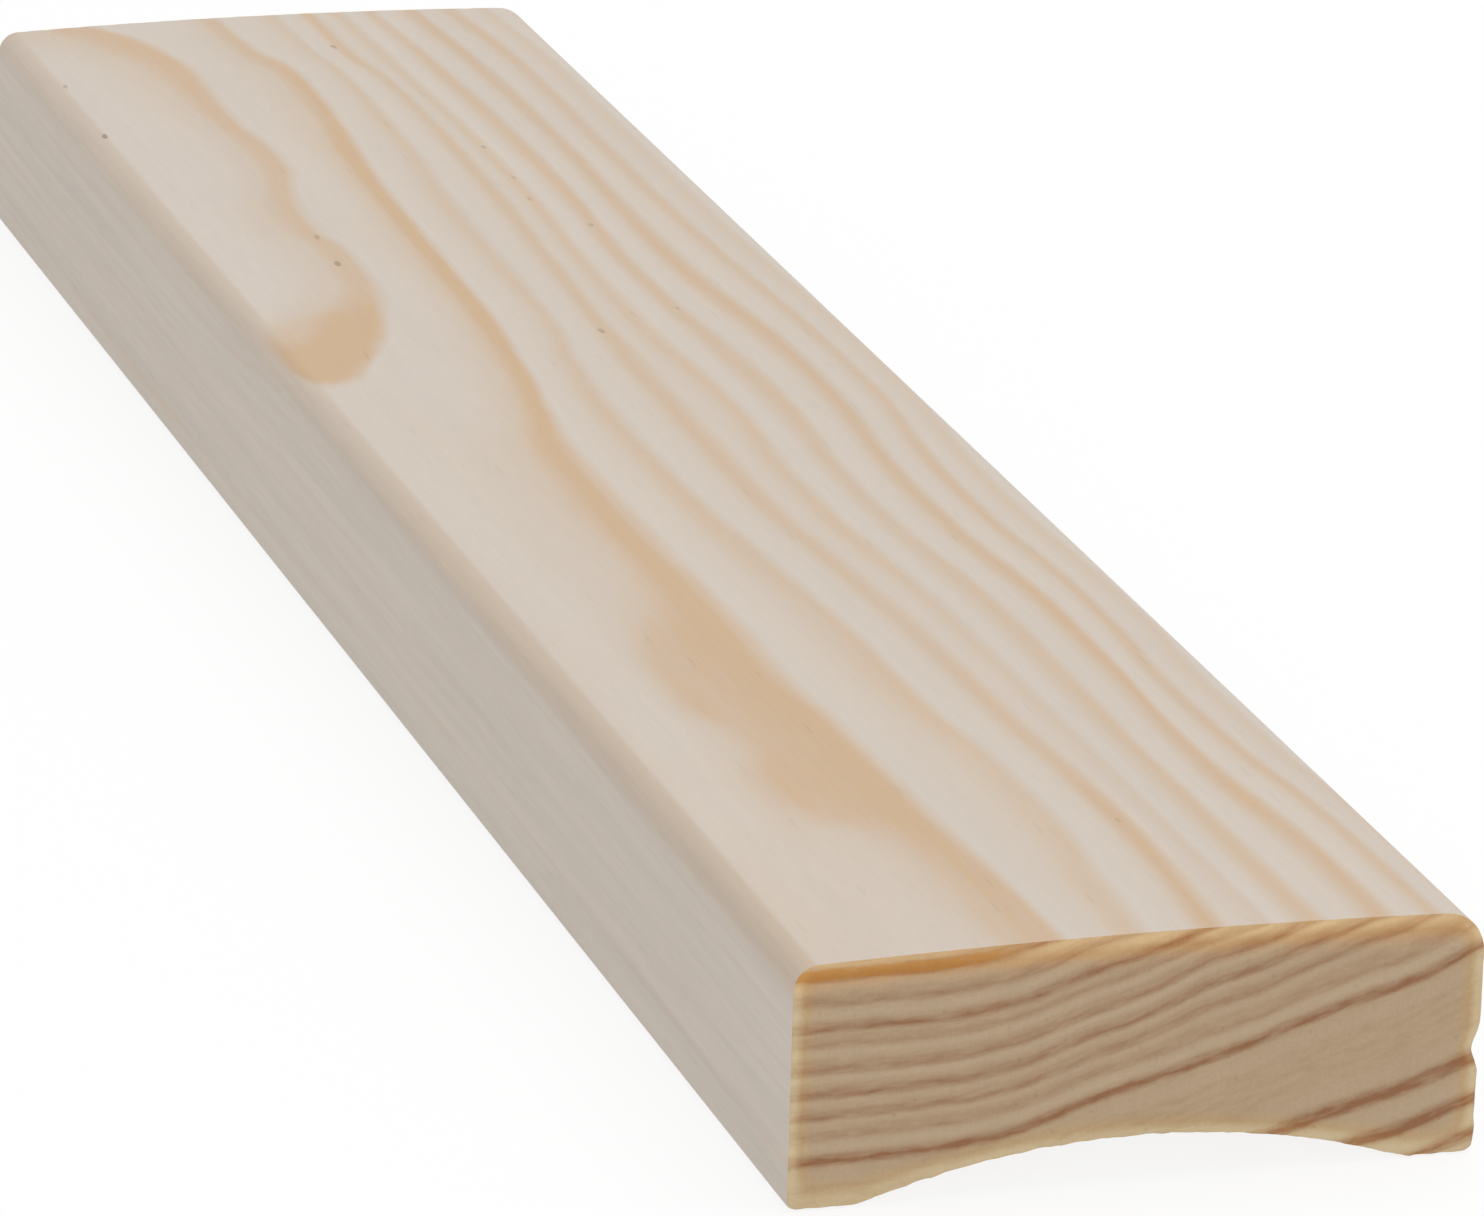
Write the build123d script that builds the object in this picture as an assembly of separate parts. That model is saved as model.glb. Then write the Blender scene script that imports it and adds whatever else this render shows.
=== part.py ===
"""A cover strip: one short length of planed pine moulding that is nailed over the joint between two boards.

It is a single piece of wood. Its section is made on a four-sided planer and is the same from end to end:
a face that is slightly crowned, two rounded arrises of different size, square sides, and a back that is
hollowed in one shallow arc, so that only a narrow foot along each side bears on the wall.
Both ends are sawn square. The strip lies on its feet, face up, with its length along Y.
"""

from build123d import *
import math
import os

# Sizes in millimetres
strip_width = 41.0
strip_thickness = 15.0
strip_length = 200.0
crown_rise = 0.4
left_arris_radius = 1.5
right_arris_radius = 2.5
foot_width = 4.2
foot_corner_radius = 0.6
hollow_depth = 2.7
hollow_lip_radius = 3.0

# Places that follow from the sizes
half_width = strip_width / 2
side_height = strip_thickness - crown_rise
hollow_half_width = half_width - foot_width


def corner(sketch, x, z):
    """The one corner of the section that stands at x, z."""
    return min(sketch.vertices(), key=lambda v: math.hypot(v.X - x, v.Y - z))


def sharp_section():
    """The section before its corners are rounded: its x runs across the strip and its y up."""
    left_toe = (-half_width, 0)
    left_edge = (-half_width, side_height)
    crown = (0, strip_thickness)
    right_edge = (half_width, side_height)
    right_toe = (half_width, 0)
    right_heel = (hollow_half_width, 0)
    hollow_top = (0, hollow_depth)
    left_heel = (-hollow_half_width, 0)
    outline = [
        Line(left_toe, left_edge),
        ThreePointArc(left_edge, crown, right_edge),
        Line(right_edge, right_toe),
        Line(right_toe, right_heel),
        ThreePointArc(right_heel, hollow_top, left_heel),
        Line(left_heel, left_toe),
    ]
    return make_face(outline)


def strip_section():
    """The planed section, with its arrises, toes and the two lips of the hollow rounded."""
    roundings = [
        (-half_width, side_height, left_arris_radius),
        (half_width, side_height, right_arris_radius),
        (-half_width, 0, foot_corner_radius),
        (half_width, 0, foot_corner_radius),
        (-hollow_half_width, 0, hollow_lip_radius),
        (hollow_half_width, 0, hollow_lip_radius),
    ]
    section = sharp_section()
    for x, z, radius in roundings:
        section = fillet(corner(section, x, z), radius)
    return section


def cover_strip():
    """The section run along Y, half its length each way from the middle."""
    return extrude(Plane.XZ * strip_section(), strip_length / 2, both=True)


os.makedirs("parts", exist_ok=True)
strip = cover_strip()
strip.label = "cover_strip"
export_step(strip, "parts/cover_strip.step")
print("cover_strip", strip.bounding_box().size, "volume", round(strip.volume))
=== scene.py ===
"""A short length of planed pine cover strip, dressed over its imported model.

One piece of wood lies on its feet with its crowned face up. Its section is the same from end to end, and
both ends are sawn. The figure of the wood is one field of growth rings through the whole piece, so the
lines on the face, the sides, the back and the two ends are all cut from the same rings.
"""

import functools
import math

import bpy
from bpy.props import FloatProperty, FloatVectorProperty, IntProperty, PointerProperty
from mathutils import Matrix, Vector


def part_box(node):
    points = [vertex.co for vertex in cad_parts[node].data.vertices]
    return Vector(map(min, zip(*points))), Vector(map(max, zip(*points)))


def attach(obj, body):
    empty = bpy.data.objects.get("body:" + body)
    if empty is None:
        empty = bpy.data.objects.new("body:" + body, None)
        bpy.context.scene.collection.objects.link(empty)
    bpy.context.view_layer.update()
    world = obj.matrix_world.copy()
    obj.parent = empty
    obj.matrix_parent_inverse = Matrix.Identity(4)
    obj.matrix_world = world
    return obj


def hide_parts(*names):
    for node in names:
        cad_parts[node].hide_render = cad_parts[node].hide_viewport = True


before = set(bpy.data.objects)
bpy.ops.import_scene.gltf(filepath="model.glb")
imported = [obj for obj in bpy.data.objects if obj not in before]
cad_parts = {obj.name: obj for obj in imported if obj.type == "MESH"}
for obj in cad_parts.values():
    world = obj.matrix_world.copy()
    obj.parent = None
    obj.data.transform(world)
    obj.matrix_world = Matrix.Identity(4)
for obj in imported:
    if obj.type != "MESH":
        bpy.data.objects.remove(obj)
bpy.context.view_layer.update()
STRIP_LOW, STRIP_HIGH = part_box("cover_strip")
STRIP_WIDTH, STRIP_LENGTH, STRIP_THICKNESS = (high - low for low, high in zip(STRIP_LOW, STRIP_HIGH))

bl_info = {
    "name": "Cover strip",
    "version": (1, 0, 0),
    "blender": (4, 5, 0),
    "location": "3D View > Sidebar > Cover strip",
    "description": "Makes a planed pine cover strip with its growth rings, sawn ends and studio stage",
    "category": "Object",
}

MILLIMETRE = 0.001
NODE = "cover_strip"
BODY = "root"
IMAGE_WIDTH = 1484  # pixels across the picture that the focal length is given for
WHITE = (1.0, 1.0, 1.0, 1.0)


def paint(red, green, blue):
    """A colour as it looks on screen, from 0 to 255, as the linear colour that a shader takes."""

    def linear(value):
        value /= 255
        return value / 12.92 if value <= 0.04045 else ((value + 0.055) / 1.055) ** 2.4

    return (linear(red), linear(green), linear(blue), 1.0)


# The growth rings. A ring's level is its height at the left side of the strip, in millimetres above the feet.
# The dark latewood of a ring stands on its level, with a crisp lower edge and a softer upper one.
# Each row: level of the crisp edge, thickness, darkness, and how the darkness changes along the strip, where it
# does, as (place along, factor). Places along run from -100 at the near end to 100 at the far one, and places
# across from -20.5 at the left side to 20.5 at the right one, in millimetres.
LATEWOOD = [
    (15.20, 1.20, 0.90, [(-100, 1), (5, 1.1), (13, 1.4), (22, 1.35), (31, 0.95), (60, 0.85), (100, 0.9)]),
    (13.58, 0.90, 1.00, [(-100, 0.98), (-60, 1.15), (-30, 1), (0, 0.95), (30, 1.1), (57, 1.05), (72, 0.95), (90, 0.8),
                         (100, 0.7)]),
    (12.10, 0.48, 0.62, [(-100, 0.9), (-75, 0.8), (-50, 1), (20, 0.9), (100, 0.7)]),
    (10.55, 0.50, 0.72, [(-100, 1.3), (-82, 1.3), (-68, 0.9), (20, 0.95), (100, 0.9)]),
    (9.62, 0.45, 0.50, [(-100, 0.7), (-60, 0.8), (-20, 1.1), (100, 0.9)]),
    (8.05, 0.62, 0.64, [(-100, 1), (-30, 0.9), (40, 1.1), (100, 0.8)]),
    (6.62, 0.55, 0.84, None),
    (5.35, 0.50, 0.66, None),
    (4.15, 0.50, 0.32, None),
    (2.66, 0.52, 1.30, None),
    (-2.82, 0.58, 1.60, None),
    (-4.72, 0.58, 1.60, None),
    (-6.52, 0.55, 1.55, None),
]

# The palest wood between the latewood lines, which shows on the sawn ends: level, thickness and strength.
PALE_LINES = [
    (12.98, 0.42, 0.7), (11.35, 0.55, 0.9), (9.08, 0.42, 0.8), (7.55, 0.42, 0.9), (6.15, 0.34, 0.5),
    (4.92, 0.34, 0.5), (3.45, 0.55, 1.1), (1.45, 0.8, 0.4), (-2.0, 0.6, 0.5), (-3.95, 0.75, 0.8), (-5.8, 0.7, 0.7),
]

# How far the rings climb from the left side of the strip to the right, as (place across, climb).
RING_CLIMB = [
    (-20.5, -0.05), (-16, 0.05), (-13, 0.14), (-10.8, 0.3), (-8.6, 0.6), (-7, 0.92), (-5.6, 1.36), (-4.6, 1.72),
    (-3.6, 2.08), (-1.2, 2.72), (1, 3.25), (4, 4.12), (8, 5.42), (12, 6.64), (15.8, 7.8), (18.4, 8.96), (20.5, 9.9),
]

# The rings fan out towards the right: the climb is multiplied by this much, as (level, factor). The fan takes
# hold between the two places across.
RING_FAN = [(-10, 0.74), (-6, 0.80), (-3.3, 0.88), (0, 0.97), (2.6, 1.0), (4, 1.01), (6.5, 1.1), (9.0, 1.1),
            (9.8, 1.03), (10.8, 1.0), (16, 1.0)]
FAN_START, FAN_END = -2.0, 4.0


def one_ring(level, places):
    """A line that follows one ring along the face, from its places (along, across)."""
    return [(along, across, level) for along, across in places]


# Where the rings come to the surface of the face, from the left arris to the right one.
# Each point: place along, place across, level of the ring that shows there.
FACE_LINES = [
    [(-100, -20.5, 14.62), (-20, -20.5, 14.72), (-2, -20.5, 14.82), (7, -20.5, 14.95), (12, -20.5, 15.3),
     (15, -20.5, 15.7), (19, -20.5, 16.05), (23, -20.5, 16.5), (28, -20.5, 17.1), (40, -20.5, 17.4),
     (60, -20.5, 17.4), (85, -20.5, 17.2), (100, -20.5, 16.4)],
    [(-100, -18, 14.7), (-20, -18, 14.8), (-4, -18, 14.82), (4, -18, 14.86), (8, -18, 14.98), (10.5, -18, 15.3),
     (13, -18, 15.5), (17, -18, 15.85), (22, -17.2, 16.25), (27, -14, 16.3), (33, -12.3, 16.3), (39, -12.1, 16.3),
     (47, -12.9, 16.3), (55, -11.6, 16.3), (62, -10.8, 16.3), (74, -11.5, 16.3), (86, -12.3, 16.3),
     (93, -14.4, 16.3), (100, -17.8, 16.3)],
    [(-100, -16, 14.73), (-20, -16, 14.8), (-2, -16, 14.8), (5, -16.4, 14.82), (8, -16.4, 14.88),
     (10.5, -16.1, 15.08), (12.5, -15.4, 15.2), (17, -13.3, 15.2), (23, -11.5, 15.2), (33, -10, 15.2),
     (39, -9.8, 15.2), (44, -10.6, 15.2), (55, -9.7, 15.2), (63, -8.6, 15.2), (74, -9.3, 15.2), (83, -9.1, 15.2),
     (91, -10, 15.2), (100, -13.6, 15.2)],
    [(-100, -15.5, 14.71), (-84, -15.2, 14.69), (-77, -14.6, 14.67), (-71, -14.9, 14.65), (-65, -14.2, 14.65),
     (-56, -15.1, 14.63), (-48, -14.9, 14.64), (-40, -13.9, 14.67), (-30, -14.6, 14.7), (-12, -15.5, 14.75),
     (0, -15.4, 14.75), (6, -15.1, 14.76), (10, -14.8, 14.77), (12.5, -14.1, 14.78), (17, -12, 14.8),
     (23, -10.2, 14.8), (33, -8.7, 14.8), (39, -8.6, 14.8), (44, -9.3, 14.8), (55, -8.4, 14.8), (63, -7.3, 14.8),
     (74, -8, 14.8), (83, -7.8, 14.8), (91, -8.8, 14.8), (100, -12.2, 14.8)],
    [(-100, -8.1, 14.42), (-90, -8.5, 14.42), (-82, -9.6, 14.42), (-77, -11.7, 14.26), (-71, -12.7, 14.2),
     (-65, -11.5, 14.22), (-56, -13.5, 14.2), (-47, -12.9, 14.22), (-40, -10.9, 14.32), (-31, -10.2, 14.42),
     (-12, -10, 14.42), (0, -8.2, 14.42), (10, -6.7, 14.42), (30, -5.5, 14.42), (60, -4.5, 14.42),
     (80, -3.5, 14.42), (90, -4.9, 14.42), (100, -5.4, 14.42)],
    one_ring(13.58, [(-100, -4.9), (-90, -5.3), (-80, -6), (-66, -6.4), (-50, -7.2), (-12, -7.4), (0, -6.3),
                     (10, -5), (30, -3.9), (50, -3.4), (70, -2.1), (80, -1.6), (90, -3.1), (100, -3.9)]),
    one_ring(12.38, [(-100, -1.1), (-90, -0.7), (-80, 0.3), (-60, -0.8), (-45, -1.2), (-30, -2), (-10, -2.9),
                     (10, -2.1), (20, -0.9), (50, -0.1), (80, 1.2), (90, 0.5), (100, 0.2)]),
    one_ring(10.78, [(-100, 3.8), (-82, 4.5), (-65, 3.7), (-45, 3.2), (-30, 2.3), (-20, 1.6), (0, 1.8),
                     (30, 3), (50, 3.9), (70, 4.4), (80, 4.2), (90, 3.1), (100, 3)]),
    one_ring(9.82, [(-100, 7.1), (-75, 6.9), (-45, 6.4), (-30, 5.5), (-20, 5), (0, 5.8), (20, 5.1), (60, 6.3),
                    (80, 5.9), (100, 5.4)]),
    one_ring(8.33, [(-100, 9.8), (-75, 9.5), (-48, 9.8), (-20, 8.5), (0, 9.3), (28, 8.4), (60, 9.3), (80, 8.9),
                    (100, 7.9)]),
    one_ring(6.87, [(-100, 13.9), (-90, 13.9), (-72, 12.8), (-50, 13.4), (-22, 12.1), (5, 13.3), (35, 11.8),
                    (65, 12.3), (100, 11.2)]),
    one_ring(5.58, [(-100, 17.3), (-82, 16.8), (-60, 15.4), (-46, 16), (-20, 15), (5, 16.4), (45, 15.2),
                    (75, 15.2), (100, 14)]),
]

# Dark specks in the planed face: across, along, radius and darkness.
SPECKS = [
    (-19.2, 71, 0.28, 0.8), (-19.0, 84.5, 0.16, 0.5), (-11.1, 36, 0.26, 0.7), (-10.9, 42.3, 0.22, 0.5),
    (6.5, 62, 0.20, 0.5), (6.1, 48.5, 0.18, 0.35), (6.5, 54, 0.16, 0.35), (8.6, 41.5, 0.22, 0.4),
    (2.2, 16.8, 0.24, 0.5), (2.8, 90.3, 0.22, 0.55), (8.8, 21, 0.16, 0.3), (4.7, -82, 0.16, 0.3),
]
SPECK_STRETCH = 3.0  # how much longer a speck is along the fibre than across it
SPECKS_ABOVE = 10.0  # millimetres above the feet, so that the specks show on the face alone

# One over the half sizes of the chip, per metre: it is a shallow dent about 4 mm across, 3.3 mm along and 3.2 mm up.
CHIP_SHARPNESS = (500.0, 600.0, 620.0)
FLOOR_DROP = 0.1 * MILLIMETRE  # how far the floor lies under the feet, so that the two never touch


def length_property(precision=5, **settings):
    """A property that holds a length in metres."""
    return FloatProperty(unit="LENGTH", precision=precision, **settings)


def place_property(**settings):
    """A property that holds a place in metres."""
    return FloatVectorProperty(size=3, subtype="XYZ", unit="LENGTH", **settings)


def colour_property(**settings):
    """A property that holds a colour."""
    return FloatVectorProperty(size=4, subtype="COLOR", **settings)


class StripSizes(bpy.types.PropertyGroup):
    """Sizes of the strip."""

    width: length_property(name="Width", description="Width of the face", default=STRIP_WIDTH)
    thickness: length_property(
        name="Thickness", description="Thickness at the middle of the crowned face", default=STRIP_THICKNESS)
    length: length_property(name="Length", description="Length between the sawn ends", default=STRIP_LENGTH)
    crown_rise: length_property(
        name="Crown", description="Rise of the face from its sides to its middle", default=0.4 * MILLIMETRE)
    left_arris: length_property(name="Left arris", description="Radius of the left arris", default=1.5 * MILLIMETRE)
    right_arris: length_property(name="Right arris", description="Radius of the right arris", default=2.5 * MILLIMETRE)
    foot_width: length_property(
        name="Foot", description="Width of each foot, up to the sharp lip of the hollow", default=4.2 * MILLIMETRE)
    foot_corner: length_property(
        name="Foot corner", description="Radius of the outer corner of each foot", default=0.6 * MILLIMETRE)
    hollow_depth: length_property(
        name="Hollow", description="Depth of the hollow in the back", default=2.7 * MILLIMETRE)
    hollow_lip: length_property(
        name="Hollow lip", description="Radius that eases the lips of the hollow", default=3.0 * MILLIMETRE)


class SurfaceSettings(bpy.types.PropertyGroup):
    """How fine the mesh is, and how rough the planer and the saw left the wood."""

    columns: IntProperty(name="Columns", description="Vertices across the section", default=142, min=20, max=400)
    layers: IntProperty(name="Layers", description="Vertices up the sides", default=38, min=4, max=100)
    steps: IntProperty(name="Steps", description="Vertices along the strip", default=200, min=20, max=600)
    fibre_relief: length_property(
        name="Fibre relief", description="Depth of the furrows between the fibres of the planed faces",
        default=0.02 * MILLIMETRE, precision=6)
    saw_relief: length_property(
        name="Saw relief", description="Depth of the saw marks in the ends", default=0.1 * MILLIMETRE, precision=6)
    tear_depth: length_property(
        name="Torn edge", description="Depth to which the saw tore the edges of the ends",
        default=0.22 * MILLIMETRE, precision=6)
    chip_depth: length_property(
        name="Chip", description="Depth of the chip in the right side at the near end", default=0.42 * MILLIMETRE,
        precision=6)
    chip_place: place_property(name="Chip place", description="Middle of the chip", default=(0.0206, -0.1, 0.0064))
    seed: IntProperty(name="Seed", description="Changes the random shapes of the surface", default=7, min=0)


class WoodColours(bpy.types.PropertyGroup):
    """Colours of the planed faces and of the sawn ends. A tint multiplies a colour, so it may pass 1."""

    earlywood: colour_property(
        name="Earlywood", description="Pale wood of a planed face", default=paint(208, 197, 185))
    latewood: colour_property(
        name="Latewood", description="Darkest line on a planed face", default=paint(203, 173, 140))
    end_earlywood: colour_property(
        name="End earlywood", description="Pale wood of a sawn end", default=paint(182, 158, 129))
    end_latewood: colour_property(
        name="End latewood", description="Darkest ring of a sawn end", default=paint(147, 105, 75))
    end_pale: colour_property(
        name="End pale line", description="Palest line of a sawn end", default=paint(190, 168, 140))
    end_amber: colour_property(
        name="End amber", description="Resin-filled ring under the left arris", default=paint(166, 124, 76))
    end_rim: colour_property(
        name="End rim", description="Tint of the pale fibres along the edges of a sawn end",
        default=(1.22, 1.38, 1.55, 1.0), max=2)
    end_gold: colour_property(
        name="End gold", description="Tint of a sawn end just inside its pale rim",
        default=(1.08, 1.02, 0.86, 1.0), max=2)
    end_warmth: colour_property(
        name="End warmth", description="Tint of a sawn end under the top face", default=(1.12, 1.0, 0.88, 1.0),
        max=2)
    speck: colour_property(name="Speck", description="Dark speck in a planed face", default=paint(150, 128, 106))
    roughness: FloatProperty(
        name="Roughness", description="Roughness of the planed faces", default=0.62, min=0, max=1)
    end_roughness: FloatProperty(
        name="End roughness", description="Roughness of the sawn ends", default=0.85, min=0, max=1)


class StageSettings(bpy.types.PropertyGroup):
    """Floor, light and camera."""

    floor_radius: length_property(name="Floor", description="Radius of the white floor", default=5.0)
    sky_strength: FloatProperty(
        name="Sky", description="Strength of the white light from all round", default=0.68, min=0)
    key_power: FloatProperty(
        name="Key lamp", description="Power of the large lamp overhead", default=4.7, min=0, unit="POWER")
    fill_power: FloatProperty(
        name="Fill lamp", description="Power of the lamp in front", default=2.5, min=0, unit="POWER")
    key_place: place_property(
        name="Key lamp place", description="Where the large lamp hangs", default=(0.28, 0.05, 1.15))
    fill_place: place_property(
        name="Fill lamp place", description="Where the lamp in front stands", default=(-0.25, -1.1, 0.35))
    key_size: length_property(name="Key lamp size", description="Side of the large lamp", default=1.0)
    fill_size: length_property(name="Fill lamp size", description="Side of the lamp in front", default=0.8)
    camera_azimuth: FloatProperty(
        name="Azimuth", description="Turn of the camera round the strip", default=math.radians(-17.525),
        subtype="ANGLE")
    camera_elevation: FloatProperty(
        name="Elevation", description="Height of the camera over the floor", default=math.radians(18.608),
        subtype="ANGLE")
    camera_roll: FloatProperty(
        name="Roll", description="Tilt of the camera about its line of sight", default=math.radians(1.779),
        subtype="ANGLE")
    camera_distance: length_property(
        name="Distance", description="Distance from the camera to its aim", default=0.6183)
    camera_aim: place_property(
        name="Aim", description="Point that the camera looks at", default=(0.00742, 0.0, 0.0005))
    camera_focal: FloatProperty(
        name="Focal length in pixels", description="Focal length of the camera, in pixels of the picture",
        default=9336.0)


class Number:
    """A socket that carries one number. Arithmetic with such numbers becomes Math nodes."""

    def __init__(self, tree, socket):
        self.tree = tree
        self.socket = socket

    def math(self, operation, *values, clamp=False):
        made = self.tree.nodes.new("ShaderNodeMath")
        made.operation = operation
        made.use_clamp = clamp
        for socket, value in zip(made.inputs, values):
            feed(self.tree, socket, value)
        return Number(self.tree, made.outputs[0])

    def __add__(self, other):
        return self.math("ADD", self, other)

    def __radd__(self, other):
        return self.math("ADD", other, self)

    def __sub__(self, other):
        return self.math("SUBTRACT", self, other)

    def __rsub__(self, other):
        return self.math("SUBTRACT", other, self)

    def __mul__(self, other):
        return self.math("MULTIPLY", self, other)

    def __truediv__(self, other):
        return self.math("DIVIDE", self, other)

    def __neg__(self):
        return self.math("MULTIPLY", self, -1.0)

    def clamped(self):
        return self.math("ADD", self, 0.0, clamp=True)

    def smaller(self, other):
        return self.math("MINIMUM", self, other)

    def larger(self, other):
        return self.math("MAXIMUM", self, other)

    def over(self, other):
        return self.math("GREATER_THAN", self, other)

    def power(self, other):
        return self.math("POWER", self, other)

    def absolute(self):
        return self.math("ABSOLUTE", self)

    def sign(self):
        return self.math("SIGN", self)

    def step(self, start, end, low=0.0, high=1.0, smooth=True):
        """low up to start, high from end on, and a smooth or straight slope between them."""
        made = node(self.tree, "ShaderNodeMapRange", {
            "Value": self, "From Min": start, "From Max": end, "To Min": low, "To Max": high},
            interpolation_type="SMOOTHSTEP" if smooth else "LINEAR", clamp=True)
        return Number(self.tree, made.outputs["Result"])


def feed(tree, socket, value):
    """Links a socket or a number to an input, or sets the input's own value."""
    if isinstance(value, Number):
        value = value.socket
    if isinstance(value, bpy.types.NodeSocket):
        tree.links.new(value, socket)
    else:
        socket.default_value = value


def node(tree, kind, inputs=None, **settings):
    """A new node with its settings and inputs. An input is named, or numbered where names repeat."""
    made = tree.nodes.new(kind)
    for name, value in settings.items():
        setattr(made, name, value)
    for name, value in (inputs or {}).items():
        feed(tree, made.inputs[name], value)
    return made


def largest(numbers):
    """The largest of several numbers."""
    return functools.reduce(Number.larger, numbers)


def split(tree, vector):
    """The three numbers of a vector."""
    return [Number(tree, socket) for socket in node(tree, "ShaderNodeSeparateXYZ", {0: vector}).outputs]


def in_millimetres(tree, place):
    """The three coordinates of a place, in millimetres."""
    return [coordinate * (1 / MILLIMETRE) for coordinate in split(tree, place)]


def joined(tree, x, y, z):
    """A vector from three numbers."""
    return node(tree, "ShaderNodeCombineXYZ", {0: x, 1: y, 2: z}).outputs[0]


def vector_math(tree, operation, first, second):
    """What a Vector Math node makes of two vectors."""
    return node(tree, "ShaderNodeVectorMath", {0: first, 1: second}, operation=operation).outputs[0]


def scaled(tree, vector, factor):
    """A vector or a colour multiplied by a number."""
    return node(tree, "ShaderNodeVectorMath", {0: vector, "Scale": factor}, operation="SCALE").outputs[0]


def noise(tree, place, cells=None, detail=2.0):
    """Smooth noise from -0.5 to 0.5, with so many of its coarsest cells to a unit of the place, along each axis."""
    if cells:
        place = vector_math(tree, "MULTIPLY", place, cells)
    made = node(tree, "ShaderNodeTexNoise", {"Vector": place, "Scale": 1.0, "Detail": detail, "Roughness": 0.5})
    return Number(tree, made.outputs[0]) - 0.5


def new_tree(name, kind, inputs, outputs):
    """A node group with its inputs (name, what it carries, default) and its outputs (name, what it carries)."""
    tree = bpy.data.node_groups.new(name, kind)
    for label, carried, default in inputs:
        socket = tree.interface.new_socket(name=label, in_out="INPUT", socket_type=f"NodeSocket{carried}")
        if default is not None:
            socket.default_value = default
    for label, carried in outputs:
        tree.interface.new_socket(name=label, in_out="OUTPUT", socket_type=f"NodeSocket{carried}")
    return tree, tree.nodes.new("NodeGroupInput"), tree.nodes.new("NodeGroupOutput")


class DrawnCurve:
    """A smooth curve drawn through a few points, read by a node and by this script."""

    def __init__(self, tree, value, points):
        heights = [y for x, y in points]
        self.start, self.end = points[0][0], points[-1][0]
        self.low, self.span = min(heights), max(max(heights) - min(heights), 0.001)
        made = tree.nodes.new("ShaderNodeFloatCurve")
        self.mapping = made.mapping
        curve = self.mapping.curves[0]
        while len(curve.points) < len(points):
            curve.points.new(0.5, 0.5)
        for point, (x, y) in zip(curve.points, points):
            point.location = ((x - self.start) / (self.end - self.start), (y - self.low) / self.span)
            point.handle_type = "AUTO_CLAMPED"
        self.mapping.update()
        feed(tree, made.inputs["Value"], (value - self.start) / (self.end - self.start))
        self.number = Number(tree, made.outputs[0]) * self.span + self.low

    def at(self, x):
        """The height of the curve at one place."""
        share = (x - self.start) / (self.end - self.start)
        return self.mapping.evaluate(self.mapping.curves[0], share) * self.span + self.low


def latewood_line_group():
    """One latewood line: dark at its sharp lower edge and fading softly upwards."""
    tree, given, result = new_tree(
        "Latewood line", "ShaderNodeTree",
        [("Level", "Float", 0.0), ("Edge", "Float", 0.0), ("Thickness", "Float", 0.5), ("Darkness", "Float", 1.0)],
        [("Mask", "Float")])
    level, edge, thickness, darkness = (Number(tree, socket) for socket in given.outputs[:4])
    above = level - edge
    inside = above.step(-0.27, 0.19)
    core = 1.0 - (above / thickness).step(0.3, 1.45)
    halo = 1.0 - above.step(0.5, 1.5)
    halo_share = 0.14
    feed(tree, result.inputs["Mask"], inside * (core * darkness * (1 - halo_share) + halo * halo_share))
    return tree


def growth_ring_group(line_group, sizes):
    """The growth rings of the whole piece of wood at a place in it."""
    tree, given, result = new_tree(
        "Growth rings", "ShaderNodeTree", [("Place", "Vector", None)],
        [("Latewood", "Float"), ("Pale", "Float"), ("Level", "Float")])
    place = given.outputs["Place"]
    x, y, z = in_millimetres(tree, place)
    climb = DrawnCurve(tree, x, RING_CLIMB)
    fan = DrawnCurve(tree, z - climb.number, RING_FAN)
    fan_share = x.step(FAN_START, FAN_END)
    total_climb = climb.number * ((fan.number - 1.0) * fan_share + 1.0)

    thickness, width, rise = (size / MILLIMETRE for size in (sizes.thickness, sizes.width, sizes.crown_rise))

    def face_level(across):
        """The level that an even field of rings would have on the face at this place across."""
        height = thickness - rise * (2 * across / width) ** 2
        share = min(max((across - FAN_START) / (FAN_END - FAN_START), 0.0), 1.0)
        share = share * share * (3.0 - 2.0 * share)
        climbed = climb.at(across)
        return height - climbed * ((fan.at(height - climbed) - 1.0) * share + 1.0)

    # The drawn lines of the face lift or sink the rings there, and less so deeper in the wood.
    columns = []
    for line in FACE_LINES:
        across = DrawnCurve(tree, y, [(along, across) for along, across, level in line])
        lift = DrawnCurve(tree, y, [(along, face_level(across) - level) for along, across, level in line])
        columns.append((across.number, lift.number))
    lifted = columns[0][1]
    for (left, low), (right, high) in zip(columns, columns[1:]):
        lifted = lifted + (high - low) * x.step(left, right, smooth=False)
    lifted = lifted * z.step(3.0, 13.5, low=0.25)
    # The rings waver a little everywhere. Low in the wood they also drift away from those of the near end.
    ripple = noise(tree, place, (240.0, 55.0, 240.0))
    shiver = noise(tree, place, (850.0, 120.0, 850.0))
    drift = noise(tree, place, (60.0, 14.0, 60.0), detail=1.0)
    drift = drift * (1.0 - z.step(3.0, 12.0)) * y.step(-100.0, -60.0)
    level = z - total_climb - lifted + ripple * 0.22 + shiver * 0.1 + drift * 3.0

    def line_mask(edge, thick, darkness):
        """The mask of one line at this place in the wood."""
        line = node(tree, "ShaderNodeGroup", {
            "Level": level, "Edge": edge, "Thickness": thick, "Darkness": darkness}, node_tree=line_group)
        return Number(tree, line.outputs["Mask"])

    masks = []
    for edge, thick, darkness, changes in LATEWOOD:
        if changes:
            darkness = DrawnCurve(tree, y, changes).number * darkness
        masks.append(line_mask(edge, thick, darkness))
    feed(tree, result.inputs["Latewood"], largest(masks))
    feed(tree, result.inputs["Pale"], largest([line_mask(*row) for row in PALE_LINES]))
    feed(tree, result.inputs["Level"], level)
    return tree


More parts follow.
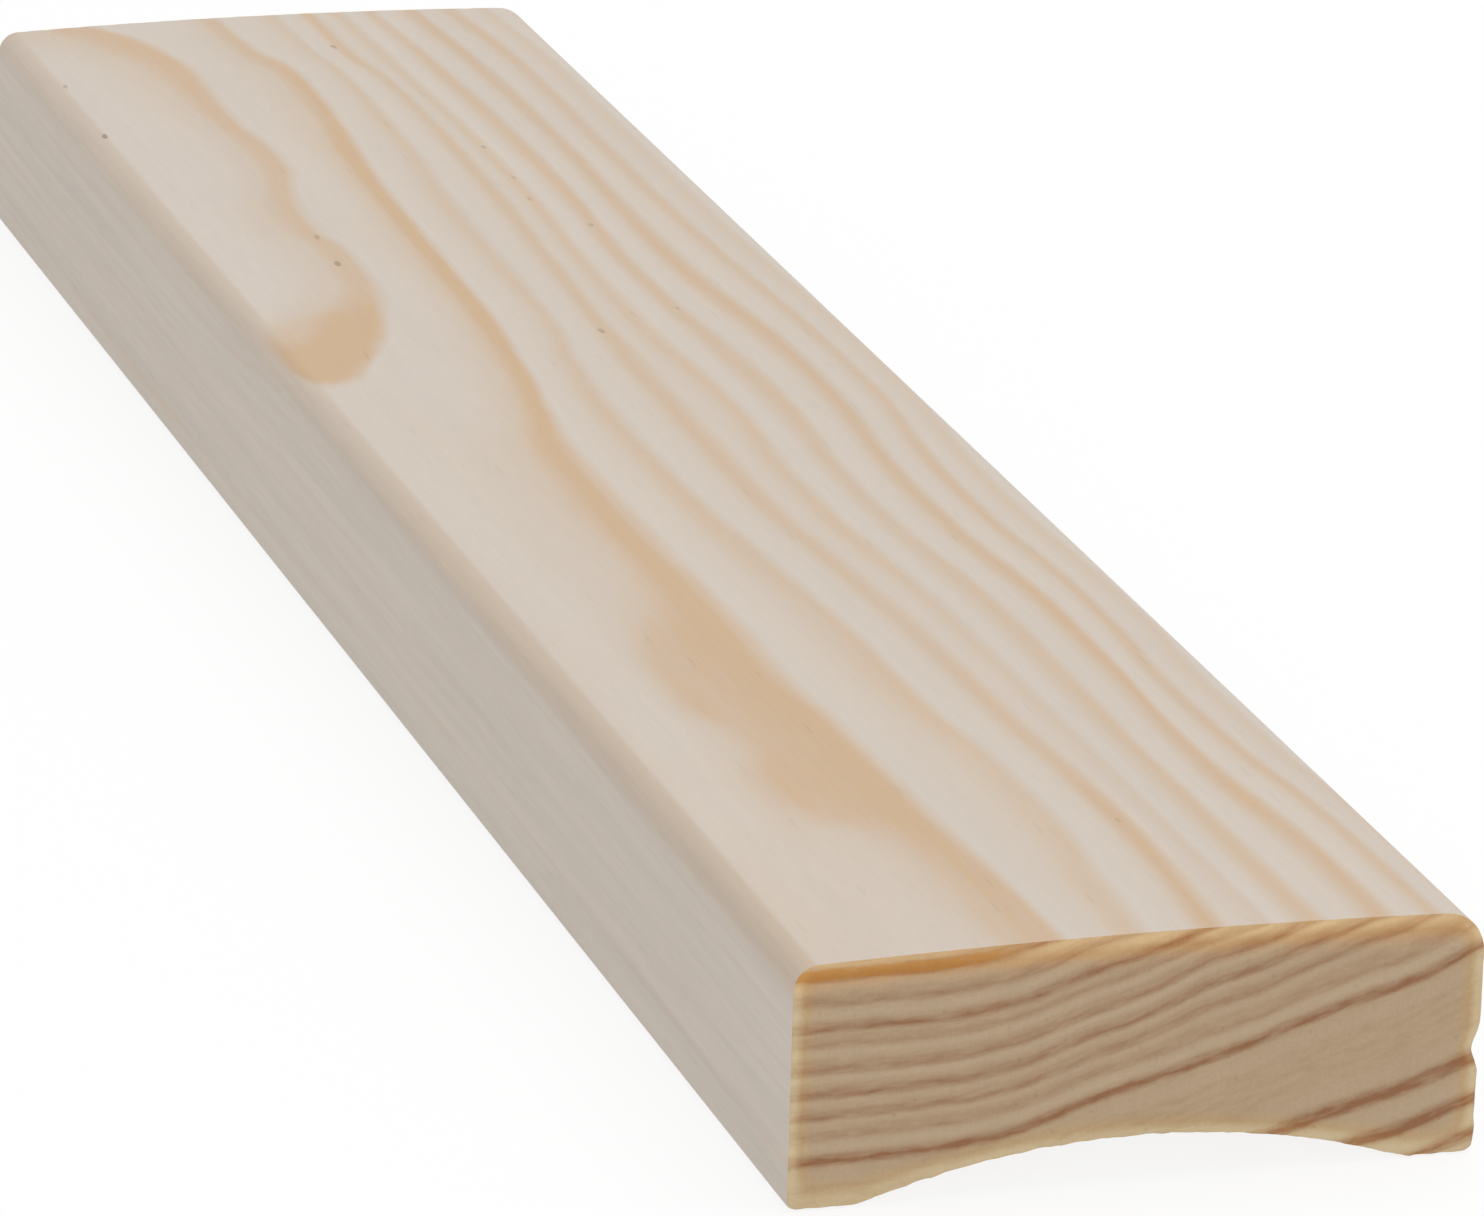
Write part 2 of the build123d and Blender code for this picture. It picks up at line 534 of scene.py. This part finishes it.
def fibre_group():
    """Streaks of fibre that run along the strip, and the broad shifts of tone in the wood."""
    tree, given, result = new_tree(
        "Wood fibre", "ShaderNodeTree", [("Place", "Vector", None)],
        [("Streak", "Float"), ("Tone", "Float"), ("Pore", "Float"), ("Canal", "Float")])
    place = given.outputs["Place"]
    fine = noise(tree, place, (2600.0, 90.0, 2600.0), detail=3.0)
    coarse = noise(tree, place, (700.0, 18.0, 700.0))
    feed(tree, result.inputs["Streak"], fine * 0.6 + coarse * 0.8)
    feed(tree, result.inputs["Tone"], noise(tree, place, (120.0, 22.0, 120.0)))
    feed(tree, result.inputs["Pore"], noise(tree, place, (5200.0, 420.0, 5200.0), detail=1.0))
    # Resin canals: short thin tubes that lie along the fibre.
    cell = node(tree, "ShaderNodeTexVoronoi", {
        "Vector": vector_math(tree, "MULTIPLY", place, (750.0, 90.0, 750.0)), "Scale": 1.0})
    feed(tree, result.inputs["Canal"], 1.0 - Number(tree, cell.outputs["Distance"]).step(0.05, 0.13))
    return tree


def speck_group():
    """Small dark specks at fixed places on the planed face."""
    tree, given, result = new_tree(
        "Specks", "ShaderNodeTree", [("Place", "Vector", None)], [("Mask", "Float")])
    place = given.outputs["Place"]
    # The outline of each speck is uneven, most of all along the fibre.
    wobble = node(tree, "ShaderNodeTexNoise", {"Vector": place, "Scale": 1500.0, "Detail": 2.0}).outputs["Color"]
    wobble = vector_math(tree, "SUBTRACT", wobble, (0.5, 0.5, 0.5))
    wobble = vector_math(tree, "MULTIPLY", wobble, (0.0005, 0.0012, 0.0))
    x, y, z = in_millimetres(tree, vector_math(tree, "ADD", place, wobble))
    masks = []
    for across, along, radius, darkness in SPECKS:
        dx = (x - across) / radius
        dy = (y - along) / (radius * SPECK_STRETCH)
        masks.append((1.0 - (dx * dx + dy * dy).step(0.3, 1.0)) * darkness)
    feed(tree, result.inputs["Mask"], largest(masks) * z.over(SPECKS_ABOVE))
    return tree


def mixed(tree, share, first, second, blend="MIX"):
    """Two colours mixed."""
    made = node(tree, "ShaderNodeMix", data_type="RGBA", blend_type=blend)
    for index, value in ((0, share), (6, first), (7, second)):
        feed(tree, made.inputs[index], value)
    return made.outputs[2]


def new_material(name):
    """An empty material with its shader, and the node tree that it stands in."""
    material = bpy.data.materials.new(name)
    material.use_nodes = True
    tree = material.node_tree
    tree.nodes.clear()
    shader = tree.nodes.new("ShaderNodeBsdfPrincipled")
    node(tree, "ShaderNodeOutputMaterial", {"Surface": shader.outputs["BSDF"]})
    return material, tree, shader


def placed_group(tree, group, place):
    """A node group put into a material: its outputs by name."""
    made = node(tree, "ShaderNodeGroup", {"Place": place}, node_tree=group)
    return {socket.name: Number(tree, socket) for socket in made.outputs}


def mesh_field(tree, name):
    """A distance in metres that the mesh carries as an attribute, in millimetres."""
    return Number(tree, node(tree, "ShaderNodeAttribute", attribute_name=name).outputs["Fac"]) * (1 / MILLIMETRE)


def planed_material(groups, colours):
    """Bare planed pine: pale earlywood, soft honey-coloured latewood and a faint fibre."""
    material, tree, shader = new_material("Planed pine")
    place = tree.nodes.new("ShaderNodeTexCoord").outputs["Object"]
    late = placed_group(tree, groups["rings"], place)["Latewood"]
    fibre = placed_group(tree, groups["fibre"], place)
    speck = placed_group(tree, groups["specks"], place)["Mask"]
    streak, tone, pore, canal = fibre["Streak"], fibre["Tone"], fibre["Pore"], fibre["Canal"]
    x, y, z = in_millimetres(tree, place)
    # The lines are plain on the face and the back, and faint and patchy on the sides.
    patch = noise(tree, place, (160.0, 30.0, 420.0), detail=1.0)
    show = mesh_field(tree, "from_side").step(0.05, 1.0, low=(0.13 + patch * 0.5).clamped(), high=1.0)
    strength = late * show * (0.97 + streak * 0.8 + tone * 0.5)
    # The left arris is warmer than the face, most of all towards the near end. It is also darkened a little, which is
    # painted shade added to the shading of its rounding.
    arris = (1.0 - x.step(-19.4, -18.9)) * z.step(11.8, 14.2) * y.step(-60.0, 20.0, low=0.42, high=0.26)
    strength = strength.larger(arris * (1.0 + tone)).clamped()
    colour = mixed(tree, strength, colours.earlywood, colours.latewood)
    colour = mixed(tree, speck, colour, colours.speck)
    shade = 1.0 + streak * show.step(0.2, 0.9, low=0.24, high=0.09) + tone * 0.05 + pore * 0.06
    shade = shade * (1.0 - canal * (0.03 + late * 0.05))
    # Painted shade: the left arris is darkened by up to 16 %, added to the shading that its rounding already gets.
    shade = shade * (1.0 - arris * 0.16)
    feed(tree, shader.inputs["Base Color"], scaled(tree, colour, shade))
    feed(tree, shader.inputs["Roughness"], colours.roughness + streak * 0.12)
    shader.inputs["Specular IOR Level"].default_value = 0.3
    height = streak * 0.7 + pore * 0.5 - canal * 0.5
    bump = node(tree, "ShaderNodeBump", {"Height": height, "Strength": 0.2, "Distance": 0.1 * MILLIMETRE})
    feed(tree, shader.inputs["Normal"], bump.outputs["Normal"])
    return material


def sawn_material(groups, colours, sizes):
    """The sawn end: darker, with the rings in full contrast, fine rays, a golden border and a pale rim."""
    material, tree, shader = new_material("Sawn end grain")
    place = tree.nodes.new("ShaderNodeTexCoord").outputs["Object"]
    rings = placed_group(tree, groups["rings"], place)
    late, pale, level = rings["Latewood"], rings["Pale"], rings["Level"]
    canal = placed_group(tree, groups["fibre"], place)["Canal"]
    x, y, z = in_millimetres(tree, place)
    # Layers that follow the rings, and rays that cross them.
    layer = noise(tree, joined(tree, x * 0.55, y, level * 3.2), detail=3.0)
    ray = noise(tree, joined(tree, x * 7.0, y, level * 0.5), detail=1.0)
    mottle = noise(tree, place, (300.0, 300.0, 300.0), detail=3.0)
    pore = noise(tree, place, (4200.0, 4200.0, 4200.0))
    saw = noise(tree, place, (1500.0, 300.0, 160.0))
    # Near the planed faces the saw cut is pale at its very edge, then golden, and warmest under the top face.
    # At the left the dark rings fade into the pale rim.
    thickness, width, rise = (size / MILLIMETRE for size in (sizes.thickness, sizes.width, sizes.crown_rise))
    ragged = mottle * 0.7 + layer * 0.5
    distance = mesh_field(tree, "edge_distance")
    distance = distance * z.step(0.5, 3.0, low=0.5) * z.step(13.0, 14.3, low=1.0, high=0.78)
    under = thickness - x * x * (4 * rise / width**2) - z + ragged
    rim = 1.0 - (distance + ragged * 0.4).step(0.2, 0.85)
    shown = late * (1.0 - rim * x.step(-17.0, -12.0, low=0.5, high=0.0))
    strength = (shown * (0.66 + layer * 1.2 + mottle * 0.6) + layer * 0.5 + 0.07).clamped()
    colour = mixed(tree, strength, colours.end_earlywood, colours.end_latewood)
    pale = (pale * (0.7 + layer * 1.5) * (1.0 - late.clamped())).clamped()
    colour = mixed(tree, pale, colour, colours.end_pale)
    # One ring under the left arris is full of resin.
    amber = late * level.step(13.5, 13.75) * (1.0 - level.step(14.15, 14.4)) * (1.0 - x.step(-10.0, -6.0))
    amber = (amber * (1.1 + layer * 1.6 + mottle)).clamped()
    colour = mixed(tree, amber, colour, colours.end_amber)
    for share, tint in (
        (1.0 - under.step(1.0, 2.3), colours.end_warmth),
        (1.0 - (distance + ragged * 0.6).step(0.7, 1.6), colours.end_gold),
        (rim, colours.end_rim),
    ):
        colour = mixed(tree, share, colour, mixed(tree, 1.0, colour, tint, blend="MULTIPLY"))
    shade = 1.0 + mottle * 0.08 + pore * 0.14 + saw * 0.05 + ray * 0.06
    shade = shade * (1.0 - canal * 0.08)
    feed(tree, shader.inputs["Base Color"], scaled(tree, colour, shade))
    shader.inputs["Roughness"].default_value = colours.end_roughness
    shader.inputs["Specular IOR Level"].default_value = 0.2
    height = pore * 0.6 + saw * 0.6 - canal * 0.6
    bump = node(tree, "ShaderNodeBump", {"Height": height, "Strength": 0.3, "Distance": 0.2 * MILLIMETRE})
    feed(tree, shader.inputs["Normal"], bump.outputs["Normal"])
    return material


def arc(centre_x, centre_z, radius, start, end, count):
    """Points of an arc in the section, from the start angle to the end angle, in count steps."""
    angles = [start + (end - start) * step / count for step in range(count + 1)]
    return [(centre_x + radius * math.cos(a), centre_z + radius * math.sin(a)) for a in angles]


def upper_line(sizes, arris_steps=24, crown_steps=60):
    """The face of the section from left to right: arris, crown and arris."""
    half = sizes.width / 2
    crown_radius = (half**2 + sizes.crown_rise**2) / (2 * sizes.crown_rise)
    crown_z = sizes.thickness - crown_radius

    def arris(radius, side):
        """The centre of an arris that touches the side and the crown, and the angle where it meets the crown."""
        x = side * (half - radius)
        z = crown_z + math.sqrt((crown_radius - radius) ** 2 - x**2)
        return x, z, math.atan2(z - crown_z, x)

    left_x, left_z, left_angle = arris(sizes.left_arris, -1)
    right_x, right_z, right_angle = arris(sizes.right_arris, 1)
    return (
        arc(left_x, left_z, sizes.left_arris, math.pi, left_angle, arris_steps)
        + arc(0.0, crown_z, crown_radius, left_angle, right_angle, crown_steps)[1:]
        + arc(right_x, right_z, sizes.right_arris, right_angle, 0.0, arris_steps)[1:]
    )


def lower_line(sizes, corner_steps=10, lip_steps=8, hollow_steps=80):
    """The back of the section from left to right: foot, lip, hollow, lip and foot."""
    half = sizes.width / 2
    reach = half - sizes.foot_width
    hollow_radius = (reach**2 + sizes.hollow_depth**2) / (2 * sizes.hollow_depth)
    hollow_z = sizes.hollow_depth - hollow_radius
    lip = sizes.hollow_lip
    lip_x = math.sqrt((hollow_radius + lip) ** 2 - (lip - hollow_z) ** 2)
    turn = math.atan2(lip - hollow_z, -lip_x)
    corner = sizes.foot_corner
    left = arc(-half + corner, corner, corner, math.pi, 1.5 * math.pi, corner_steps)
    left += arc(-lip_x, lip, lip, 1.5 * math.pi, turn + math.pi, lip_steps)
    middle = arc(0.0, hollow_z, hollow_radius, turn, math.pi - turn, hollow_steps)[1:-1]
    right = [(-x, z) for x, z in reversed(left)]
    return left + middle + right


def drawn_line(name, points):
    """A line of the section as a curve object in the XZ plane."""
    data = bpy.data.curves.new(name, "CURVE")
    data.dimensions = "3D"
    spline = data.splines.new("POLY")
    spline.points.add(len(points) - 1)
    for point, (x, z) in zip(spline.points, points):
        point.co = (x, 0.0, z, 1.0)
    line = bpy.data.objects.new(name, data)
    bpy.context.scene.collection.objects.link(line)
    return line


def empty_carrier(name):
    """An object with an empty mesh that a Geometry Nodes modifier fills."""
    carrier = bpy.data.objects.new(name, bpy.data.meshes.new(name))
    bpy.context.scene.collection.objects.link(carrier)
    return carrier


def grown(carrier, tree, values):
    """Runs a Geometry Nodes tree on the carrier, keeps its result as a plain mesh and removes the modifier."""
    modifier = carrier.modifiers.new(tree.name, "NODES")
    modifier.node_group = tree
    for item in tree.interface.items_tree:
        if item.in_out == "INPUT" and item.name in values:
            modifier[item.identifier] = values[item.name]
    depsgraph = bpy.context.evaluated_depsgraph_get()
    depsgraph.update()
    mesh = bpy.data.meshes.new_from_object(
        carrier.evaluated_get(depsgraph), preserve_all_data_layers=True, depsgraph=depsgraph)
    carrier.modifiers.remove(modifier)
    spare = carrier.data
    carrier.data = mesh
    mesh.name = carrier.name
    bpy.data.meshes.remove(spare)
    if not mesh.polygons:
        raise RuntimeError(f"{carrier.name} came out empty")
    return carrier


def strip_tree():
    """The strip as a block whose section is drawn between two lines, with the marks of planer and saw."""
    tree, given, result = new_tree(
        "Planed strip", "GeometryNodeTree",
        [("Geometry", "Geometry", None), ("Upper line", "Object", None), ("Lower line", "Object", None),
         ("Width", "Float", STRIP_WIDTH), ("Length", "Float", STRIP_LENGTH), ("Columns", "Int", 142),
         ("Layers", "Int", 38), ("Steps", "Int", 200), ("Fibre relief", "Float", 0.0), ("Saw relief", "Float", 0.0),
         ("Torn edge", "Float", 0.0), ("Chip depth", "Float", 0.0), ("Chip place", "Vector", (0.0, 0.0, 0.0)),
         ("Seed", "Int", 0), ("Planed", "Material", None), ("Sawn", "Material", None)],
        [("Geometry", "Geometry")])
    value = given.outputs
    block = node(tree, "GeometryNodeMeshCube", {
        "Size": (1.0, 1.0, 1.0), "Vertices X": value["Columns"], "Vertices Y": value["Steps"],
        "Vertices Z": value["Layers"]})
    across, along, up = split(tree, tree.nodes.new("GeometryNodeInputPosition").outputs[0])
    share = (across + 0.5).clamped()
    height_share = (up + 0.5).clamped()
    # The steps along the strip get shorter towards the ends, where the edges are torn.
    from_middle = (along * 2.0).absolute()
    eased = 1.0 - (1.0 - from_middle).larger(0.0).power(1.25)
    y = eased * along.sign() * value["Length"] * 0.5

    def on_line(name):
        """The place on a line of the section at this share of its length."""
        line = node(tree, "GeometryNodeObjectInfo", {"Object": value[name]}, transform_space="ORIGINAL")
        sample = node(tree, "GeometryNodeSampleCurve", {"Curves": line.outputs["Geometry"], "Factor": share},
                      mode="FACTOR")
        return split(tree, sample.outputs["Position"])

    top_x, _, top_z = on_line("Upper line")
    foot_x, _, foot_z = on_line("Lower line")
    x = foot_x + (top_x - foot_x) * height_share
    z = foot_z + (top_z - foot_z) * height_share
    depth = (top_z - foot_z) * height_share.smaller(1.0 - height_share)
    from_side = Number(tree, value["Width"]) * 0.5 - x.absolute()
    geometry = block.outputs["Mesh"]
    for name, field in (
        ("edge_distance", depth.smaller(from_side)), ("from_side", from_side), ("at_end", from_middle.over(0.9999)),
        ("height_share", height_share),
    ):
        geometry = node(tree, "GeometryNodeStoreNamedAttribute", {
            "Geometry": geometry, "Name": name, "Value": field}, data_type="FLOAT", domain="POINT").outputs[0]
    geometry = node(tree, "GeometryNodeSetPosition", {
        "Geometry": geometry, "Position": joined(tree, x, y, z)}).outputs[0]

    def named(name):
        made = node(tree, "GeometryNodeInputNamedAttribute", {"Name": name}, data_type="FLOAT")
        return Number(tree, made.outputs["Attribute"])

    # Relief: everything goes inwards, so that the strip keeps its planed size.
    position = tree.nodes.new("GeometryNodeInputPosition").outputs[0]
    seed = Number(tree, value["Seed"]) * 0.37  # metres that each seed slides the noise through the wood
    seeded = vector_math(tree, "ADD", position, joined(tree, seed, seed, seed))
    normal = tree.nodes.new("GeometryNodeInputNormal").outputs[0]
    fibre = noise(tree, seeded, (1400.0, 60.0, 1400.0)) + 0.5
    saw = noise(tree, seeded, (900.0, 100.0, 120.0)) + 0.5
    tear = noise(tree, seeded, (800.0, 200.0, 800.0), detail=3.0) + 0.5
    end = named("at_end")
    on_edge = end * (1.0 - named("edge_distance").step(0.0, 0.2 * MILLIMETRE))
    low_edge = named("height_share").step(0.0, 0.8, low=1.0, high=0.25)
    inward = (1.0 - end) * fibre * value["Fibre relief"]
    inward = inward + on_edge * tear.power(2.0) * 2.0 * low_edge * value["Torn edge"]
    outward_y = split(tree, position)[1].sign()
    sawn = end * (1.0 - on_edge) * saw * value["Saw relief"] * outward_y * -1.0
    chip = vector_math(tree, "SUBTRACT", position, value["Chip place"])
    chip = vector_math(tree, "MULTIPLY", chip, CHIP_SHARPNESS)
    reach = Number(tree, node(tree, "ShaderNodeVectorMath", {0: chip}, operation="LENGTH").outputs["Value"])
    chipped = reach.step(0.0, 1.0, low=1.0, high=0.0) * (0.7 + tear * 0.6) * value["Chip depth"] * -1.0
    offset = vector_math(tree, "ADD", scaled(tree, normal, -inward), joined(tree, chipped, sawn, 0.0))
    geometry = node(tree, "GeometryNodeSetPosition", {"Geometry": geometry, "Offset": offset}).outputs[0]

    # The edges of the sawn ends stay sharp. Everything else is shaded smooth.
    angle = tree.nodes.new("GeometryNodeInputMeshEdgeAngle")
    sharp = Number(tree, angle.outputs["Unsigned Angle"]).over(math.radians(40))
    geometry = node(tree, "GeometryNodeStoreNamedAttribute", {
        "Geometry": geometry, "Name": "sharp_edge", "Value": sharp}, data_type="BOOLEAN", domain="EDGE").outputs[0]
    geometry = node(tree, "GeometryNodeSetShadeSmooth", {"Geometry": geometry, "Shade Smooth": True}).outputs[0]
    geometry = node(tree, "GeometryNodeRealizeInstances", {"Geometry": geometry}).outputs[0]
    geometry = node(tree, "GeometryNodeSetMaterial", {"Geometry": geometry, "Material": value["Planed"]}).outputs[0]
    geometry = node(tree, "GeometryNodeSetMaterial", {
        "Geometry": geometry, "Selection": named("at_end").over(0.99), "Material": value["Sawn"]}).outputs[0]
    feed(tree, result.inputs["Geometry"], geometry)
    return tree


class STRIP_OT_wood(bpy.types.Operator):
    """Makes the planed strip with its growth rings and sawn ends."""

    bl_idname = "cover_strip.wood"
    bl_label = "Planed strip"

    def execute(self, context):
        scene = context.scene
        sizes, surface, colours = scene.strip_sizes, scene.strip_surface, scene.strip_colours
        groups = {
            "rings": growth_ring_group(latewood_line_group(), sizes),
            "fibre": fibre_group(),
            "specks": speck_group(),
        }
        planed = planed_material(groups, colours)
        sawn = sawn_material(groups, colours, sizes)
        upper = drawn_line("section_upper", upper_line(sizes))
        lower = drawn_line("section_lower", lower_line(sizes))
        strip = grown(empty_carrier("pine_strip"), strip_tree(), {
            "Upper line": upper, "Lower line": lower, "Width": sizes.width, "Length": sizes.length,
            "Columns": surface.columns, "Layers": surface.layers, "Steps": surface.steps,
            "Fibre relief": surface.fibre_relief, "Saw relief": surface.saw_relief,
            "Torn edge": surface.tear_depth, "Chip depth": surface.chip_depth,
            "Chip place": tuple(surface.chip_place), "Seed": surface.seed, "Planed": planed, "Sawn": sawn})
        for line in (upper, lower):
            bpy.data.curves.remove(line.data)
        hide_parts(NODE)
        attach(strip, BODY)
        return {"FINISHED"}


def seen_directly(tree):
    """1 where a ray shows the floor or the sky, straight or in a gloss or through glass, and 0 where it only lights."""
    path = tree.nodes.new("ShaderNodeLightPath")
    direct = Number(tree, path.outputs["Is Camera Ray"]) + Number(tree, path.outputs["Is Glossy Ray"])
    return (direct + Number(tree, path.outputs["Is Transmission Ray"])).clamped()


def blended(tree, share, first, second):
    """Two shaders blended."""
    return node(tree, "ShaderNodeMixShader", {0: share, 1: first, 2: second}).outputs[0]


def diffuse(tree, colour):
    """A matt shader."""
    return node(tree, "ShaderNodeBsdfDiffuse", {"Color": colour}).outputs[0]


def glow(tree, strength):
    """A shader that gives white light of its own."""
    return node(tree, "ShaderNodeEmission", {"Color": WHITE, "Strength": strength}).outputs[0]


def white_floor(radius):
    """A large white floor just under the feet of the strip."""
    bpy.ops.mesh.primitive_circle_add(vertices=96, radius=radius, fill_type="NGON", location=(0, 0, 0))
    floor = bpy.context.object
    floor.name = "floor"
    for vertex in floor.data.vertices:
        vertex.co.z = -FLOOR_DROP
    material = bpy.data.materials.new("White floor")
    material.use_nodes = True
    tree = material.node_tree
    tree.nodes.clear()
    # Where it is seen, the floor is mostly its own even white, and takes only a soft shadow of the strip. To the
    # strip it is a pale floor that gives back the light and a little of its own.
    own_white, own_light = 0.84, 0.55
    seen = blended(tree, own_white, diffuse(tree, WHITE), glow(tree, 1.0))
    lighting = blended(tree, own_light, diffuse(tree, (0.82, 0.82, 0.82, 1.0)), glow(tree, 0.78))
    plain = blended(tree, seen_directly(tree), lighting, seen)
    # From below it is clear, so that the back of the strip can be seen.
    behind = tree.nodes.new("ShaderNodeNewGeometry").outputs["Backfacing"]
    both = blended(tree, behind, plain, tree.nodes.new("ShaderNodeBsdfTransparent").outputs[0])
    node(tree, "ShaderNodeOutputMaterial", {"Surface": both})
    floor.data.materials.append(material)


def white_sky(strength):
    """White light from all round, which shows as plain white."""
    world = bpy.data.worlds.new("White sky")
    bpy.context.scene.world = world
    world.use_nodes = True
    tree = world.node_tree
    tree.nodes.clear()
    light = node(tree, "ShaderNodeBackground", {"Color": WHITE, "Strength": strength}).outputs[0]
    shown = node(tree, "ShaderNodeBackground", {"Color": WHITE, "Strength": 1.0}).outputs[0]
    node(tree, "ShaderNodeOutputWorld", {"Surface": blended(tree, seen_directly(tree), light, shown)})


def area_lamp(name, place, size, power):
    """A square lamp that faces the middle of the strip."""
    data = bpy.data.lights.new(name, "AREA")
    data.shape = "SQUARE"
    data.size = size
    data.energy = power
    lamp = bpy.data.objects.new(name, data)
    bpy.context.scene.collection.objects.link(lamp)
    lamp.location = place
    lamp.rotation_euler = (-Vector(place)).to_track_quat("-Z", "Y").to_euler()


def photograph_camera(stage):
    """The camera that sees the strip as the photograph does."""
    data = bpy.data.cameras.new("camera")
    data.sensor_fit = "HORIZONTAL"
    data.lens = stage.camera_focal * data.sensor_width / IMAGE_WIDTH
    data.clip_start = 0.01
    data.clip_end = 100.0
    camera = bpy.data.objects.new("camera", data)
    bpy.context.scene.collection.objects.link(camera)
    azimuth, elevation, roll = stage.camera_azimuth, stage.camera_elevation, stage.camera_roll
    back = Vector((
        math.sin(azimuth) * math.cos(elevation), -math.cos(azimuth) * math.cos(elevation), math.sin(elevation)))
    right = (-back).cross(Vector((0, 0, 1))).normalized()
    up = back.cross(right)
    rolled_right = math.cos(roll) * right + math.sin(roll) * up
    rolled_up = math.cos(roll) * up - math.sin(roll) * right
    turn = Matrix((rolled_right, rolled_up, back)).transposed().to_4x4()
    camera.matrix_world = Matrix.Translation(Vector(stage.camera_aim) + back * stage.camera_distance) @ turn
    bpy.context.scene.camera = camera


class STRIP_OT_stage(bpy.types.Operator):
    """Makes the white floor, the light and the camera."""

    bl_idname = "cover_strip.stage"
    bl_label = "Stage"

    def execute(self, context):
        stage = context.scene.strip_stage
        white_floor(stage.floor_radius)
        white_sky(stage.sky_strength)
        area_lamp("key_lamp", stage.key_place, stage.key_size, stage.key_power)
        area_lamp("fill_lamp", stage.fill_place, stage.fill_size, stage.fill_power)
        photograph_camera(stage)
        context.scene.view_settings.view_transform = "Standard"
        return {"FINISHED"}


class STRIP_PT_sidebar(bpy.types.Panel):
    """The strip's settings and the pieces that they make."""

    bl_idname = "STRIP_PT_sidebar"
    bl_label = "Cover strip"
    bl_space_type = "VIEW_3D"
    bl_region_type = "UI"
    bl_category = "Cover strip"

    def draw(self, context):
        layout = self.layout
        for name, (heading, group) in SETTINGS.items():
            box = layout.box()
            box.label(text=heading)
            for field in group.__annotations__:
                box.prop(getattr(context.scene, name), field)
        for operator in OPERATORS:
            layout.operator(operator.bl_idname)


# The settings by the name that the scene keeps them under: heading in the sidebar and group.
SETTINGS = {
    "strip_sizes": ("Sizes", StripSizes),
    "strip_surface": ("Surface", SurfaceSettings),
    "strip_colours": ("Colours", WoodColours),
    "strip_stage": ("Stage", StageSettings),
}
OPERATORS = [STRIP_OT_wood, STRIP_OT_stage]


def register():
    for name, (_, group) in SETTINGS.items():
        bpy.utils.register_class(group)
        setattr(bpy.types.Scene, name, PointerProperty(type=group))
    for made in (*OPERATORS, STRIP_PT_sidebar):
        bpy.utils.register_class(made)


def unregister():
    for made in (STRIP_PT_sidebar, *reversed(OPERATORS)):
        bpy.utils.unregister_class(made)
    for name, (_, group) in reversed(SETTINGS.items()):
        delattr(bpy.types.Scene, name)
        bpy.utils.unregister_class(group)


def main():
    register()
    bpy.ops.cover_strip.wood()
    bpy.ops.cover_strip.stage()


if __name__ == "__main__":
    main()
